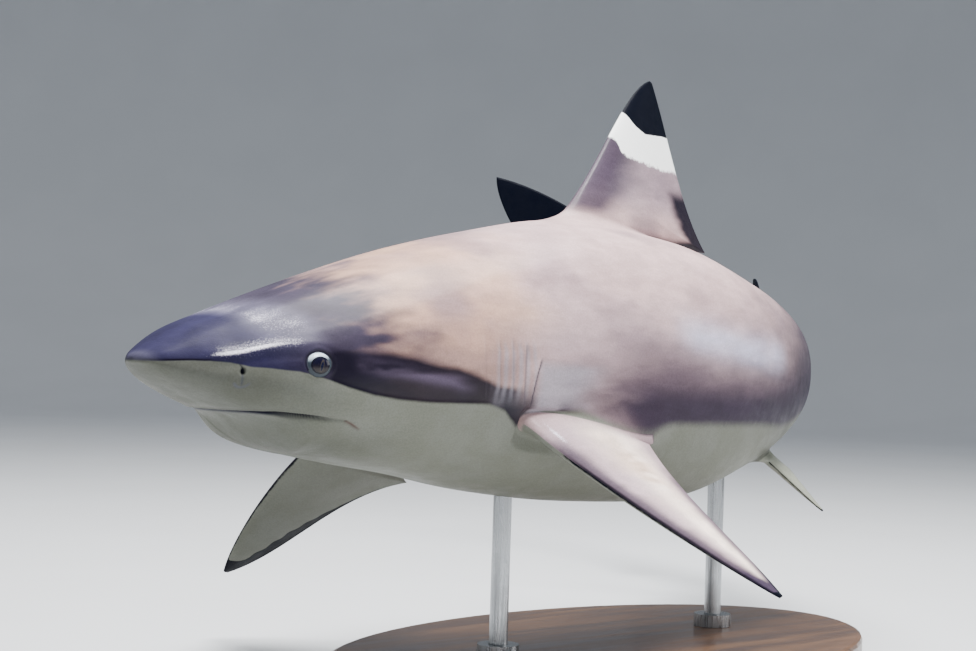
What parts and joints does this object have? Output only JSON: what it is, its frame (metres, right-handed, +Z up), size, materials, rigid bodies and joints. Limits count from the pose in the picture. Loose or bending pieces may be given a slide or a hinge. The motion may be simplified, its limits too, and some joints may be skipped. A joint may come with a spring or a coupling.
{
  "type": "blacktip reef shark, life-size still model",
  "caption": "A life-size reef shark with black-tipped fins, turning to its right as it swims, held on two short rods over a flat base.",
  "frame": {"origin": "on the floor under the middle of the whole object's box", "axes": "+Z up; the snout points along -X and the shark's left side faces -Y; the tail swings round to +Y"},
  "size_m": [0.972, 0.8264, 0.5405],
  "materials": {
    "skin": "satin, as wet skin; brown-grey above, cream below, black fin tips",
    "eye": "polished",
    "steel": "brushed",
    "wood": "dark stained, satin"
  },
  "bodies": {
    "root": {"head": "skin", "lower_jaw": "skin", "gill_region": "skin", "trunk_front": "skin", "trunk_rear": "skin", "tail_front": "skin", "tail_stalk": "skin", "dorsal_fin_first": "skin", "dorsal_fin_second": "skin", "anal_fin": "skin", "pectoral_fin_left": "skin", "pectoral_fin_right": "skin", "pelvic_fin_left": "skin", "pelvic_fin_right": "skin", "tail_fin_upper": "skin", "tail_fin_lower": "skin", "eye_left": "eye", "eye_right": "eye", "stand_rod_front": "steel", "stand_rod_rear": "steel", "stand_collar_front": "steel", "stand_collar_rear": "steel", "stand_base": "wood"}
  },
  "joints": []
}
